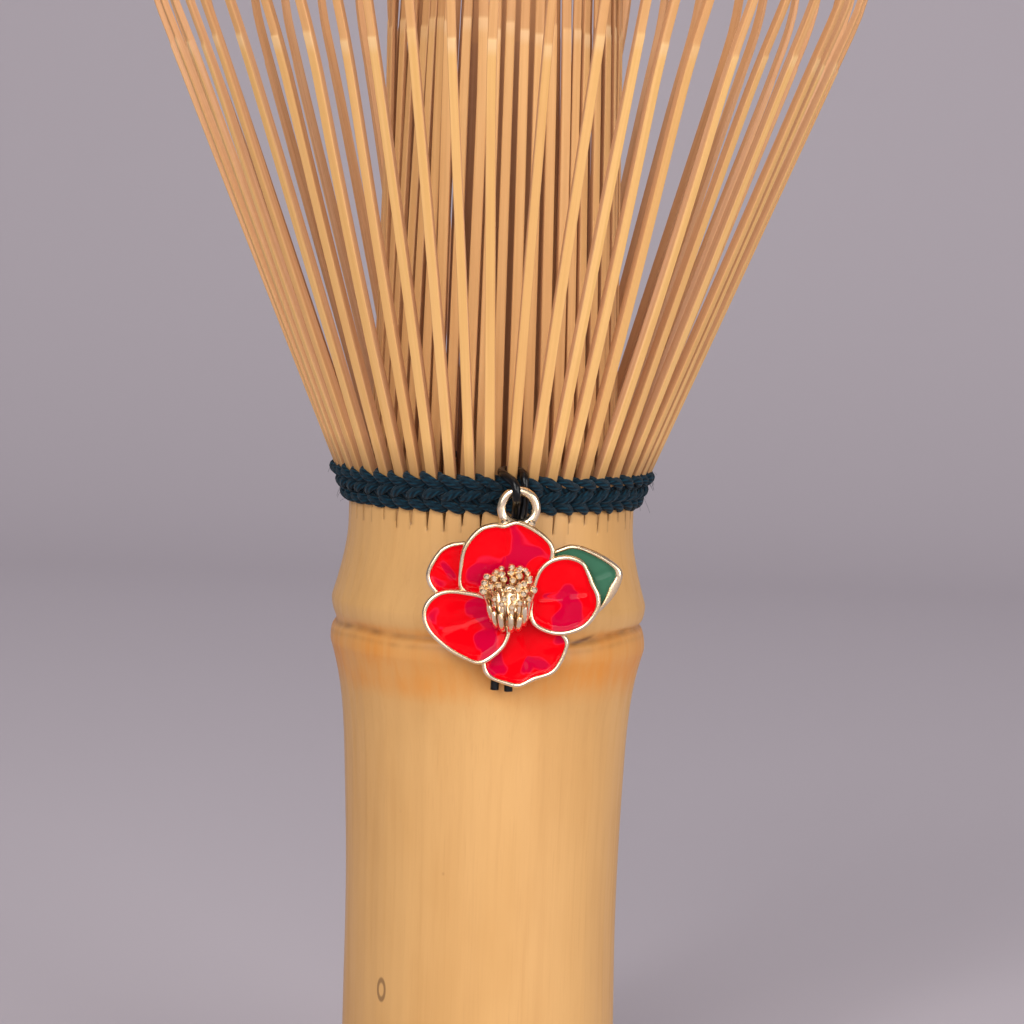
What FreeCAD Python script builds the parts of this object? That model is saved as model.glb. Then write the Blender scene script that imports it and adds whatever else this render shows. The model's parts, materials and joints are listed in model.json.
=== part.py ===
"""Bamboo tea whisk (chasen) with an enamelled camellia charm tied to its thread binding.

Millimetres. The whisk stands on the cut end of its handle with the tines up: +Z is up, the
origin is the centre of the handle's base, and the charm hangs on the -Y side.
"""
import FreeCAD, Part
import math
import os

V = FreeCAD.Vector
Z_AXIS = V(0, 0, 1)
ORIGIN = V(0, 0, 0)

# ---- driving dimensions ------------------------------------------------------------------
HANDLE_R = 11.95           # outer radius of the plain lower handle
BORE_R = 7.0               # natural hollow of the culm, below the node
BORE_DEPTH = 44.0
EDGE = 0.5                 # eased edge at the base
NODE_R = 13.75             # crest of the two rings of the node
NODE_Z = 46.7              # groove between the two rings
WAIST_R = 12.4             # culm just below the binding
ROOT_Z = 55.3              # where the splits between the tines end
CUP_R = 9.2                # hollow above the node, at the rim
CUP_FLOOR_Z = 47.5
BAND_Z0, BAND_Z1 = 57.0, 60.0
BAND_R0, BAND_R1 = 12.65, 14.15
BAND_INNER_R = 11.0
HINGE_Z = 60.0             # height about which the tines flex
HINGE_GAP = 0.15

TINES = 50                 # split tines in each of the two rings
GROUPS = 10                # neighbouring tines that flex together
PER_GROUP = TINES // GROUPS
PITCH = 360.0 / TINES

OUT_R = 13.8               # outer face of an outer tine at the top of the binding
OUT_LEAN = 22.8            # degrees from the vertical
OUT_W0, OUT_W1 = 0.86, 0.74
OUT_T0, OUT_T1, OUT_TIP_T = 0.80, 0.60, 0.25
BEND_Z = 98.0              # where the outer tines start to turn inwards
BEND_R, CURL_R = 22.0, 12.0
BEND_LEAN, TIP_LEAN = 5.0, -40.0

IN_R = 10.7                # outer face of an inner tine at the top of the binding
IN_W0, IN_W1 = 0.92, 0.80
IN_T0, IN_T1 = 0.55, 0.25
IN_LEAN = -1.2
IN_TOP_Z = 106.0
IN_WAVER = 0.5             # how far inner tine tips stand in or out of their ring

CLEAR = 0.03               # room between the binding and the tines in it

CORD_D = 0.72
PIVOT = V(2.35, -15.1, 59.2)    # middle of the charm loop's top bar
LOOP_R, LOOP_WIRE = 1.425, 0.75
CHARM_BACK = -14.65        # Y of the charm's flat back
LAYER = 0.62               # thickness of one layer of petals
RIM = 0.35                 # width of the raised rim round each petal
POCKET = 0.32              # depth of the enamel under the rim
ENAMEL_DROP = 0.06         # how far the enamel stays below the rim
FLOWER = V(1.55, 0, 50.3)  # middle of the flower, seen from the front
TUFT = V(FLOWER.x + 0.3, CHARM_BACK - 2 * LAYER, FLOWER.z - 1.0)   # foot of the stamens
TUFT_R, TUFT_FOOT = 1.7, 0.7
TUFT_LEAN = V(-0.05, -0.80, 0.60).normalize()
TUFT_LENGTH, TUFT_SPREAD = 2.7, 1.35
TUFT_RINGS = (1, 6, 12)    # filaments in the middle and in each ring round it
FILAMENT_R, ANTHER_R = 0.24, 0.42


# ---- helpers -----------------------------------------------------------------------------
def export(shape, node):
    if not shape.isValid():
        print("not valid:", node)
    shape.exportStep("parts/%s.step" % node)
    print("%-24s %4d solids %10.3f mm3" % (node, len(shape.Solids), shape.Volume))


def at_azimuth(radius, side, z, azimuth):
    """Point at a radius and a sideways offset. Azimuth 0 is the front and grows towards +X."""
    a = math.radians(azimuth)
    return V(radius * math.sin(a) + side * math.cos(a), -radius * math.cos(a) + side * math.sin(a), z)


def stick(sections, azimuth):
    """A split tine. A section is (outer face radius, height, lean, width, thickness)."""
    wires = []
    for radius, z, lean, width, thick in sections:
        back_r = radius - thick * math.cos(math.radians(lean))
        back_z = z + thick * math.sin(math.radians(lean))
        corners = [
            at_azimuth(radius, -width / 2, z, azimuth),
            at_azimuth(radius, width / 2, z, azimuth),
            at_azimuth(back_r, width / 2, back_z, azimuth),
            at_azimuth(back_r, -width / 2, back_z, azimuth),
        ]
        wires.append(Part.makePolygon(corners + corners[:1]))
    return Part.makeLoft(wires, True, True)


def ring_of(sections, indices):
    return Part.makeCompound([stick(sections, i * PITCH) for i in indices])


def group_indices(group):
    first = group * PER_GROUP - PER_GROUP // 2
    return range(first, first + PER_GROUP)


def revolve(edges):
    face = Part.Face(Part.Wire(edges))
    return face.revolve(ORIGIN, Z_AXIS, 360)


def rz(radius, z):
    return V(radius, 0, z)


def line(a, b):
    return Part.LineSegment(a, b).toShape()


def arc(a, b, c):
    return Part.Arc(a, b, c).toShape()


def spline(points, closed=False):
    curve = Part.BSplineCurve()
    curve.interpolate(Points=points, PeriodicFlag=closed)
    return curve.toShape()


# ---- culm: handle, node and the rim the tines are split from --------------------------------
def make_handle():
    foot = rz(HANDLE_R, EDGE)
    low_crest = rz(NODE_R, NODE_Z - 2.2)
    groove = rz(NODE_R - 0.4, NODE_Z)
    high_crest = rz(NODE_R, NODE_Z + 1.7)
    rim = rz(WAIST_R, ROOT_Z)
    flare = [foot, rz(HANDLE_R, 14), rz(HANDLE_R + 0.04, 25), rz(12.22, 33.5), rz(12.58, 39),
             rz(13.12, 42.2), low_crest]
    outline = [
        spline(flare),
        arc(low_crest, rz(NODE_R - 0.08, NODE_Z - 0.9), groove),
        arc(groove, rz(NODE_R - 0.1, NODE_Z + 0.8), high_crest),
        spline([high_crest, rz(13.45, NODE_Z + 2.7), rz(12.97, 51.2), rz(12.55, 53.3), rim]),
        line(rim, rz(CUP_R, ROOT_Z)),
        spline([rz(CUP_R, ROOT_Z), rz(CUP_R - 0.7, 49.5), rz(CUP_R - 3, CUP_FLOOR_Z)]),
        line(rz(CUP_R - 3, CUP_FLOOR_Z), rz(0, CUP_FLOOR_Z)),
        line(rz(0, CUP_FLOOR_Z), rz(0, BORE_DEPTH + 1.2)),
        arc(rz(0, BORE_DEPTH + 1.2), rz(4.2, BORE_DEPTH + 0.9), rz(BORE_R, BORE_DEPTH)),
        line(rz(BORE_R, BORE_DEPTH), rz(BORE_R, EDGE)),
        line(rz(BORE_R, EDGE), rz(BORE_R + EDGE, 0)),
        line(rz(BORE_R + EDGE, 0), rz(HANDLE_R - EDGE, 0)),
        line(rz(HANDLE_R - EDGE, 0), foot),
    ]
    return revolve(outline)


# ---- tines -----------------------------------------------------------------------------------
def outer_root(extra=0.0):
    """Root of an outer tine, from the split's end through the binding; extra fattens it."""
    top = HINGE_Z + extra
    return [
        (WAIST_R - 0.05 + extra, ROOT_Z, 0, 1.3 + 2 * extra, OUT_T0 + 2 * extra),
        (WAIST_R - 0.05 + extra, BAND_Z0, 3, OUT_W0 + 2 * extra, OUT_T0 + 2 * extra),
        (OUT_R + extra, top, OUT_LEAN, OUT_W0 + 2 * extra, OUT_T0 + 2 * extra),
    ]


def inner_root():
    return [
        (IN_R, ROOT_Z, 0, 0.9, IN_T0),
        (IN_R, BAND_Z0, 0, IN_W0, IN_T0),
        (IN_R, HINGE_Z, IN_LEAN, IN_W0, IN_T0),
    ]


def bend_steps(lean_from, lean_to, steps):
    return [lean_from + (lean_to - lean_from) * k / steps for k in range(1, steps + 1)]


def outer_tine():
    """A straight flare, then a gentle bend and a tighter curl towards the tip."""
    slope = math.tan(math.radians(OUT_LEAN))
    radius, z, lean = OUT_R + slope * (BEND_Z - HINGE_Z), BEND_Z, OUT_LEAN
    start_z = HINGE_Z + HINGE_GAP
    sections = [
        (OUT_R + slope * HINGE_GAP, start_z, lean, OUT_W0, OUT_T0),
        (radius, z, lean, OUT_W1, OUT_T1),
    ]
    arcs = [(BEND_R, step) for step in bend_steps(OUT_LEAN, BEND_LEAN, 3)]
    arcs += [(CURL_R, step) for step in bend_steps(BEND_LEAN, TIP_LEAN, 5)]
    for number, (bend_radius, next_lean) in enumerate(arcs, 1):
        before, after = math.radians(lean), math.radians(next_lean)
        radius += bend_radius * (math.cos(after) - math.cos(before))
        z += bend_radius * (math.sin(before) - math.sin(after))
        lean = next_lean
        thick = OUT_T1 + (OUT_TIP_T - OUT_T1) * number / len(arcs)
        sections.append((radius, z, lean, OUT_W1, thick))
    return sections


def inner_tine(index):
    """Nearly upright; the tips stand a little in or out of their ring."""
    lean = IN_LEAN + math.degrees(IN_WAVER / (IN_TOP_Z - HINGE_Z)) * math.sin(2.4 * index)
    slope = math.tan(math.radians(lean))
    start_z = HINGE_Z + HINGE_GAP
    return [
        (IN_R + slope * HINGE_GAP, start_z, lean, IN_W0, IN_T0),
        (IN_R + slope * (IN_TOP_Z - HINGE_Z), IN_TOP_Z, lean, IN_W1, IN_T1),
    ]


# ---- thread binding ----------------------------------------------------------------------------
def make_binding():
    """The woven thread as one ring that fills the gaps between the outer tines' roots."""
    bulge = rz((BAND_R0 + BAND_R1) / 2 + 0.12, (BAND_Z0 + BAND_Z1) / 2)
    ring = revolve([
        line(rz(BAND_INNER_R, BAND_Z0), rz(BAND_R0, BAND_Z0)),
        arc(rz(BAND_R0, BAND_Z0), bulge, rz(BAND_R1, BAND_Z1)),
        line(rz(BAND_R1, BAND_Z1), rz(BAND_INNER_R, BAND_Z1)),
        line(rz(BAND_INNER_R, BAND_Z1), rz(BAND_INNER_R, BAND_Z0)),
    ])
    roots = [stick(outer_root(CLEAR), i * PITCH) for i in range(TINES)]
    return ring.cut(Part.makeCompound(roots))


# ---- tie cord ------------------------------------------------------------------------------------
CORD_ROUTE = [
    V(0.85, -14.22, 42.5),     # first cut end, below the flower
    V(0.95, -14.21, 46.6),
    V(1.25, -14.22, 50.4),
    V(1.65, -14.08, 54.0),
    V(2.10, -14.05, 56.7),     # behind the loop
    V(2.15, -14.95, 58.15),    # through the loop
    V(2.15, -16.05, 58.60),
    V(2.05, -16.00, 59.90),    # over the loop's top bar
    V(1.00, -14.80, 60.46),
    V(0.81, -13.60, 60.58),    # between two tines
    V(0.86, -12.40, 60.66),
    V(2.20, -12.36, 60.66),    # behind the tine that holds it
    V(2.57, -13.35, 60.58),    # between two tines
    V(2.78, -14.48, 60.22),
    V(2.85, -14.22, 58.30),    # down behind the loop
    V(2.55, -14.10, 55.60),
    V(2.15, -14.18, 52.00),
    V(2.00, -14.21, 48.20),
    V(1.95, -14.21, 44.50),
    V(2.00, -14.20, 42.40),    # second cut end
]


def cord_path(points):
    """Straight runs joined by tangent arcs, and the list of the arcs' radii."""
    edges, radii, start = [], [], points[0]
    for before, corner, after in zip(points, points[1:], points[2:]):
        back, ahead = before - corner, after - corner
        half_turn = (math.pi - back.getAngle(ahead)) / 2
        cut = 0.45 * min(back.Length, ahead.Length)
        radius = cut / math.tan(half_turn)
        first = corner + back.normalize() * cut
        last = corner + ahead.normalize() * cut
        inward = (back + ahead).normalize()
        middle = corner + inward * (radius / math.cos(half_turn) - radius)
        edges += [line(start, first), arc(first, middle, last)]
        radii.append(radius)
        start = last
    edges.append(line(start, points[-1]))
    return Part.Wire(edges), radii


def make_tie_cord():
    path, radii = cord_path(CORD_ROUTE)
    direction = (CORD_ROUTE[1] - CORD_ROUTE[0]).normalize()
    section = Part.Wire(Part.makeCircle(CORD_D / 2, CORD_ROUTE[0], direction))
    tube = path.makePipeShell([section], True, False)
    expected = math.pi * (CORD_D / 2) ** 2 * path.Length
    print("cord length %.1f mm, volume %.2f of %.2f mm3" % (path.Length, tube.Volume, expected))
    print("cord arc radii in diameters:", " ".join("%.1f" % (r / CORD_D) for r in radii))
    return tube


# ---- camellia charm -------------------------------------------------------------------------------
# Outlines in the plane of the flower, (right, up) from its middle, as seen from the front.
BACK_PETALS = {
    "petal_left": [(-3.2, 0.5), (-3.2, 4.1), (-4.1, 4.5), (-5.3, 3.95), (-6.1, 2.8), (-6.45, 1.6),
                   (-6.2, 0.5), (-5.0, -0.2)],
    "petal_bottom": [(-1.6, -4.0), (-1.8, -5.7), (-1.2, -6.5), (0.1, -6.95), (1.3, -7.15), (2.6, -6.5),
                     (4.3, -5.8), (5.2, -4.2), (5.1, -3.0), (3.4, -2.2), (1.0, -2.4)],
    "leaf": [(3.4, 3.4), (4.6, 4.4), (5.7, 4.55), (7.3, 4.05), (8.6, 3.35), (9.4, 2.6), (9.4, 1.7),
             (8.8, 0.4), (7.7, -0.9), (6.2, -1.9), (4.6, 0.4)],
}
FRONT_PETALS = {
    "petal_top": [(-1.4, 0.9), (-3.4, 1.1), (-3.9, 2.6), (-3.6, 4.3), (-2.5, 5.6), (-1.3, 6.15),
                  (-0.35, 6.0), (0.9, 6.35), (2.5, 5.75), (3.55, 4.7), (3.5, 3.7), (2.4, 3.0),
                  (1.5, 1.7)],
    "petal_lower_left": [(-1.2, 0.0), (-3.7, 0.62), (-5.3, 0.4), (-6.3, -0.4), (-6.65, -1.5),
                         (-6.2, -2.8), (-4.85, -4.15), (-3.3, -5.0), (-1.8, -5.35), (-0.3, -4.4),
                         (0.4, -3.2), (0.3, -2.2)],
    "petal_right": [(2.0, 0.6), (2.5, 2.4), (3.45, 3.4), (4.85, 3.8), (6.15, 3.45), (6.8, 2.5),
                    (7.15, 1.7), (7.7, 0.5), (7.6, -0.8), (6.5, -2.2), (4.7, -2.85), (3.0, -2.55),
                    (2.0, -1.6)],
}


def petal_outline(points, y, inset=0.0):
    middle_x = sum(p[0] for p in points) / len(points)
    middle_z = sum(p[1] for p in points) / len(points)
    corners = []
    for right, up in points:
        reach = math.hypot(right - middle_x, up - middle_z)
        keep = 1 - inset / reach
        corners.append(V(FLOWER.x + middle_x + (right - middle_x) * keep, y,
                         FLOWER.z + middle_z + (up - middle_z) * keep))
    return Part.Wire(spline(corners, closed=True))


def petal_plate(points, y_back, thick, inset=0.0):
    return Part.Face(petal_outline(points, y_back, inset)).extrude(V(0, -thick, 0))


def make_loop():
    centre = V(PIVOT.x, PIVOT.y, PIVOT.z - LOOP_R)
    return Part.makeTorus(LOOP_R, LOOP_WIRE / 2, centre, V(0, 1, 0))


def make_charm():
    """Cast plate with a pocket in each petal, and the enamel that fills each pocket."""
    front_y = CHARM_BACK - LAYER
    casting = Part.makeCylinder(TUFT_R + 0.2, 2 * LAYER, V(TUFT.x, CHARM_BACK, TUFT.z), V(0, -1, 0))
    enamels = {}
    for layer_y, petals in ((CHARM_BACK, BACK_PETALS), (front_y, FRONT_PETALS)):
        plates = [petal_plate(points, layer_y, LAYER) for points in petals.values()]
        casting = casting.multiFuse(plates)
        pocket_y = layer_y - LAYER + POCKET
        for name, points in petals.items():
            casting = casting.cut(petal_plate(points, pocket_y, POCKET, RIM))
            enamels[name] = petal_plate(points, pocket_y, POCKET - ENAMEL_DROP, RIM)
    return casting.fuse(make_loop()), enamels


def make_stamens():
    """The cast tuft in the middle: a drum of filaments that leans up, with a ball on each."""
    drum = Part.makeCylinder(TUFT_R, TUFT_FOOT, TUFT, V(0, -1, 0))
    across = V(1, 0, 0)
    up_slope = TUFT_LEAN.cross(across).normalize()
    pieces = []
    for ring, count in enumerate(TUFT_RINGS):
        radius = 0.7 * ring
        for k in range(count):
            turn = 2 * math.pi * k / count
            foot = TUFT + V(radius * math.cos(turn), -TUFT_FOOT / 2, radius * math.sin(turn))
            spread = across * math.cos(turn) + up_slope * math.sin(turn)
            tip = TUFT + TUFT_LEAN * (TUFT_LENGTH - 0.25 * radius) + spread * (radius * TUFT_SPREAD)
            run = tip - foot
            pieces.append(Part.makeCylinder(FILAMENT_R, run.Length, foot, run))
            pieces.append(Part.makeSphere(ANTHER_R, tip))
    return drum.multiFuse(pieces)


# ---- the whole whisk ------------------------------------------------------------------------------
def main():
    os.makedirs("parts", exist_ok=True)
    export(make_handle(), "handle")
    export(ring_of(outer_root(), range(TINES)), "outer_tine_roots")
    export(ring_of(inner_root(), range(TINES)), "inner_tine_roots")
    export(make_binding(), "binding_thread")
    for group in range(GROUPS):
        members = group_indices(group)
        inner = Part.makeCompound([stick(inner_tine(i), i * PITCH) for i in members])
        export(ring_of(outer_tine(), members), "outer_tines_%02d" % (group + 1))
        export(inner, "inner_tines_%02d" % (group + 1))
    export(make_tie_cord(), "tie_cord")
    casting, enamels = make_charm()
    export(casting, "charm_casting")
    export(make_stamens(), "charm_stamens")
    for name, solid in enamels.items():
        export(solid, "enamel_" + name)


main()
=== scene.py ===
"""Looks of the bamboo tea whisk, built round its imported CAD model.

Metres, in the CAD frame: +Z is up the culm, the charm hangs on -Y. Azimuth 0 is the front and
grows towards +X.
"""
import json
import random
from math import atan2, copysign, cos, exp, hypot, pi, radians, sin, tan
import bmesh
import bpy
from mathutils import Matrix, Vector, noise


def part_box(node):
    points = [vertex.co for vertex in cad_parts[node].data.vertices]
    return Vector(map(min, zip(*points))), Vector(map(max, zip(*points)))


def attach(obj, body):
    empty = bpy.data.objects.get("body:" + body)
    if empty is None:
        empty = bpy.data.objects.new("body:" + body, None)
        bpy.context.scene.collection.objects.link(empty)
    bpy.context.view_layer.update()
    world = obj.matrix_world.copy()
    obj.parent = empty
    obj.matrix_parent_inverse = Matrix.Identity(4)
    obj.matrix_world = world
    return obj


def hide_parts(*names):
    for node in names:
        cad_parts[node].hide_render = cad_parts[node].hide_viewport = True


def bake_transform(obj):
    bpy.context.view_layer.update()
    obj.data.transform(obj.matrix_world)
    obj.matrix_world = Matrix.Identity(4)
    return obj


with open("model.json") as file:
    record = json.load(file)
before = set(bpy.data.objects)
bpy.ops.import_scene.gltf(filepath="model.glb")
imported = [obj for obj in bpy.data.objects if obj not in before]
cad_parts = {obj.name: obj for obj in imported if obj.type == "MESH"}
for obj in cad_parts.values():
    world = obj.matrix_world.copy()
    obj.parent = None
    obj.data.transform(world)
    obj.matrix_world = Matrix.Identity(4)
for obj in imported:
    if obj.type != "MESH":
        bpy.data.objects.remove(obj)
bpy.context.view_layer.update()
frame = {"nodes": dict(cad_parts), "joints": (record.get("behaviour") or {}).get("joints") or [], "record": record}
MM = 0.001

# ---- places read from the CAD model ----
BAND_LO, BAND_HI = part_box("binding_thread")
ROOT_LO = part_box("outer_tine_roots")[0]
BACK_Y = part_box("charm_casting")[1].y
JOINTS = {joint["name"]: joint for joint in frame["joints"]}
PIVOT = Vector(JOINTS["charm_lift"]["pos_m"])
HINGE_Z = JOINTS["outer_flex_01"]["pos_m"][2]
BORE = next(mount for mount in frame["record"]["mounts"] if mount["name"] == "handle_bore")
BORE_R = BORE["dims"]["r_mm"] * MM
BORE_TOP = BORE["dims"]["length_mm"] * MM + 0.5 * MM

# ---- the two rings of tines ----
TINES = 50
GROUPS = 10
PER_GROUP = TINES // GROUPS
PITCH = 2 * pi / TINES
OUT_R = 13.8 * MM
OUT_LEAN = radians(22.8)
OUT_W0, OUT_W1, OUT_TIP_W = 0.90 * MM, 0.76 * MM, 0.62 * MM
OUT_T0, OUT_T1, OUT_TIP_T = 0.78 * MM, 0.58 * MM, 0.22 * MM
BEND_Z = 98 * MM
BEND_R, CURL_R = 22 * MM, 12 * MM
BEND_LEAN, TIP_LEAN = radians(5), radians(-40)
MARK_Z = 95.2 * MM             # the tines are shaved thinner from here up
IN_R = 10.7 * MM
IN_LEAN = radians(-1.2)
IN_W0, IN_W1 = 0.92 * MM, 0.82 * MM
IN_T0, IN_T1 = 0.55 * MM, 0.25 * MM
IN_TOP_Z = 106 * MM
IN_MARK_Z = 97.6 * MM
INNER_TURN = radians(1.7)    # turn of the inner ring against the outer one
SPANS = 13                     # even stations along the straight part of a tine
SHAVED_DEPTH = 0.06 * MM
TINE_EDGE = 0.07 * MM          # width and depth of a tine's rounded edges
TINE_CROWN = 0.03 * MM
OUTER_SEEDS = (300, 1000)      # first seeds of the outer tines' marks and of their traits
INNER_SEEDS = (700, 3000)

# ---- the camera ----
CAM_DISTANCE = 0.260
CAM_SIDE = 0.0018
CAM_ABOVE_BAND = 0.0192
CAM_PITCH = radians(5.08)
CAM_ROLL = radians(1.95)
CAM_LENS = 105

BACKDROP = (0.55, 0.50, 0.545)


# ---- small helpers ----
def add_object(name, data):
    thing = bpy.data.objects.new(name, data)
    bpy.context.scene.collection.objects.link(thing)
    return thing


def srgb(red, green, blue):
    """A colour as a screen shows it, 0 to 255, as the linear colour that shaders take."""
    def linear(value):
        value /= 255
        return value / 12.92 if value <= 0.04045 else ((value + 0.055) / 1.055) ** 2.4
    return (linear(red), linear(green), linear(blue), 1.0)


def around(radius, azimuth, z):
    return Vector((radius * sin(azimuth), -radius * cos(azimuth), z))


def radial(azimuth):
    return Vector((sin(azimuth), -cos(azimuth), 0))


def sideways(azimuth):
    return Vector((cos(azimuth), sin(azimuth), 0))


def smooth_step(low, high, value):
    t = min(1.0, max(0.0, (value - low) / (high - low)))
    return t * t * (3 - 2 * t)


def lerp(a, b, t):
    return a + (b - a) * t


def wander(x, y, z):
    """Smooth noise between about -1 and 1."""
    return noise.noise(Vector((x, y, z)))


class Build:
    """Vertices, faces, surface coordinates and named values of one mesh."""

    def __init__(self):
        self.points, self.faces, self.uvs, self.values, self.kinds = [], [], [], {}, []

    def ring_rows(self, rows, closed_rows=False, closed_ring=True, kind=0):
        """Joins equal rows of points with quads. A row is a list of (point, uv, values)."""
        starts = []
        for row in rows:
            starts.append(len(self.points))
            for point, uv, values in row:
                self.points.append(point)
                self.uvs.append(uv)
                for name, value in values.items():
                    self.values.setdefault(name, {})[len(self.points) - 1] = value
        count = len(rows[0])
        last = len(rows) if closed_rows else len(rows) - 1
        for i in range(last):
            a, b = starts[i], starts[(i + 1) % len(rows)]
            for j in range(count if closed_ring else count - 1):
                k = (j + 1) % count
                self.faces.append((a + j, a + k, b + k, b + j))
                self.kinds.append(kind)
        return starts

    def cap(self, start, count, flip=False, kind=0):
        loop = list(range(start, start + count))
        self.faces.append(tuple(reversed(loop)) if flip else tuple(loop))
        self.kinds.append(kind)

    def closed_body(self, rows):
        """Joins the rows and closes both ends."""
        starts = self.ring_rows(rows)
        self.cap(starts[0], len(rows[0]), flip=True)
        self.cap(starts[-1], len(rows[0]))

    def piece(self, name, materials, sharp=radians(40)):
        mesh = bpy.data.meshes.new(name)
        mesh.from_pydata([tuple(p) for p in self.points], [], self.faces)
        for material in materials:
            mesh.materials.append(material)
        mesh.polygons.foreach_set("material_index", self.kinds)
        layer = mesh.uv_layers.new(name="grain")
        for loop in mesh.loops:
            layer.data[loop.index].uv = self.uvs[loop.vertex_index]
        for value_name, values in self.values.items():
            attribute = mesh.attributes.new(value_name, "FLOAT", "POINT")
            filled = [values.get(i, 0.0) for i in range(len(self.points))]
            attribute.data.foreach_set("value", filled)
        mesh.update()
        mesh.shade_smooth()
        mesh.set_sharp_from_angle(angle=sharp)
        thing = add_object(name, mesh)
        make_outward(thing)
        return thing


def stand_for(piece, body, node):
    """The piece moves with a body and shows a CAD node."""
    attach(piece, body)
    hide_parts(node)


def make_outward(thing, weld=False):
    """Turns all faces of a closed mesh outwards, and first joins its doubled points if asked."""
    work = bmesh.new()
    work.from_mesh(thing.data)
    if weld:
        bmesh.ops.remove_doubles(work, verts=work.verts, dist=1e-7)
    bmesh.ops.recalc_face_normals(work, faces=work.faces)
    work.to_mesh(thing.data)
    work.free()


def sweep(build, line, section_of, hint_of, closed=False):
    """Sweeps a closed section along a line. hint_of gives the direction that a section's first
    axis keeps to; section_of gives its points as (first axis, second axis)."""
    count = len(line)
    rows, length = [], 0.0
    for i, point in enumerate(line):
        if closed:
            ahead, behind = line[(i + 1) % count], line[i - 1]
        else:
            ahead, behind = line[min(i + 1, count - 1)], line[max(i - 1, 0)]
        tangent = (ahead - behind).normalized()
        hint = hint_of(i)
        first = (hint - tangent * hint.dot(tangent)).normalized()
        second = tangent.cross(first)
        section = section_of(i)
        row = []
        for number, (a, b) in enumerate(section):
            uv = (number / len(section), length / MM)
            row.append((point + first * a + second * b, uv, {}))
        rows.append(row)
        if i + 1 < count:
            length += (line[i + 1] - point).length
    if closed:
        build.ring_rows(rows, closed_rows=True)
    else:
        build.closed_body(rows)


def circle(radius, sides, flatten=1.0):
    steps = [2 * pi * k / sides for k in range(sides)]
    return [(radius * cos(t), radius * flatten * sin(t)) for t in steps]


def ball(build, centre, radius, sides):
    rows = []
    half = sides // 2 + 1
    for i in range(1, half):
        up = pi * i / half
        row = []
        for j in range(sides):
            turn = 2 * pi * j / sides
            offset = Vector((sin(up) * cos(turn), cos(up),
                             sin(up) * sin(turn)))
            row.append((centre + offset * radius, (j / sides, i / half), {}))
        rows.append(row)
    starts = build.ring_rows(rows)
    build.cap(starts[0], sides)
    build.cap(starts[-1], sides, flip=True)


# ---- material helpers ----
class Shader:
    """One procedural material, put together by short calls."""

    def __init__(self, name, **constants):
        self.material = bpy.data.materials.new(name)
        self.material.use_nodes = True
        self.tree = self.material.node_tree
        self.surface = self.tree.nodes["Principled BSDF"]
        for socket, value in constants.items():
            self.surface.inputs[socket.replace("_", " ")].default_value = value

    def add(self, kind, **settings):
        node = self.tree.nodes.new("ShaderNode" + kind)
        for key, value in settings.items():
            setattr(node, key, value)
        return node

    def feed(self, socket, source):
        if isinstance(source, bpy.types.NodeSocket):
            self.tree.links.new(source, socket)
        else:
            socket.default_value = source

    def node(self, kind, sources, output, **settings):
        """Adds a node, fills its sockets and gives one of its outputs."""
        node = self.add(kind, **settings)
        for socket, source in sources.items():
            self.feed(node.inputs[socket], source)
        return node.outputs[output]

    def place(self):
        return self.node("TexCoord", {}, "Object")

    def grain(self):
        return self.node("UVMap", {}, "UV", uv_map="grain")

    def value(self, name):
        return self.node("Attribute", {}, "Fac", attribute_name=name)

    def stretch(self, source, scale):
        return self.node("Mapping", {"Vector": source, "Scale": scale}, "Vector")

    def noise(self, source, scale, detail=3.0, rough=0.55, bend=0.0):
        sources = {"Vector": source, "Scale": scale, "Detail": detail, "Roughness": rough,
                   "Distortion": bend}
        return self.node("TexNoise", sources, "Fac")

    def cells(self, source):
        return self.node("TexVoronoi", {"Vector": source, "Scale": 1.0}, "Distance")

    def wave(self, source, scale, bend):
        sources = {"Vector": source, "Scale": scale, "Distortion": bend}
        return self.node("TexWave", sources, "Fac", bands_direction="DIAGONAL")

    def math(self, operation, a, b=0.0, clamp=False):
        return self.node("Math", {0: a, 1: b}, 0, operation=operation, use_clamp=clamp)

    def far_from(self, source, centre, size):
        """Distance from a point, measured in the given sizes along X, Y and Z."""
        kind = "VectorMath"
        moved = self.node(kind, {0: source, 1: centre}, "Vector", operation="SUBTRACT")
        scaled = self.node(kind, {0: moved, 1: size}, "Vector", operation="DIVIDE")
        return self.node(kind, {0: scaled}, "Value", operation="LENGTH")

    def remap(self, source, low, high, to_low=0.0, to_high=1.0):
        sources = {"Value": source, "From Min": low, "From Max": high, "To Min": to_low,
                   "To Max": to_high}
        return self.node("MapRange", sources, "Result", interpolation_type="SMOOTHSTEP")

    def bump(self, height, strength, depth, below=None):
        sources = {"Height": height, "Strength": strength, "Distance": depth}
        if below is not None:
            sources["Normal"] = below
        return self.node("Bump", sources, "Normal")

    def mix(self, share, a, b):
        """Colour mix: the node has several sockets called A and B, so they are found by type."""
        node = self.add("Mix", data_type="RGBA")
        self.feed(node.inputs[0], share)
        first, second = (socket for socket in node.inputs if socket.type == "RGBA")
        self.feed(first, a)
        self.feed(second, b)
        return next(output for output in node.outputs if output.type == "RGBA")

    def set(self, **sources):
        for name, source in sources.items():
            self.feed(self.surface.inputs[name.replace("_", " ")], source)
        return self.material


# ---- materials ----
FRECKLE = (-8.05 * MM, -8.80 * MM, 15.4 * MM)     # oval growth mark low on the culm
FRECKLE_SIZE = (0.36 * MM, 0.60 * MM, 0.85 * MM)


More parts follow.
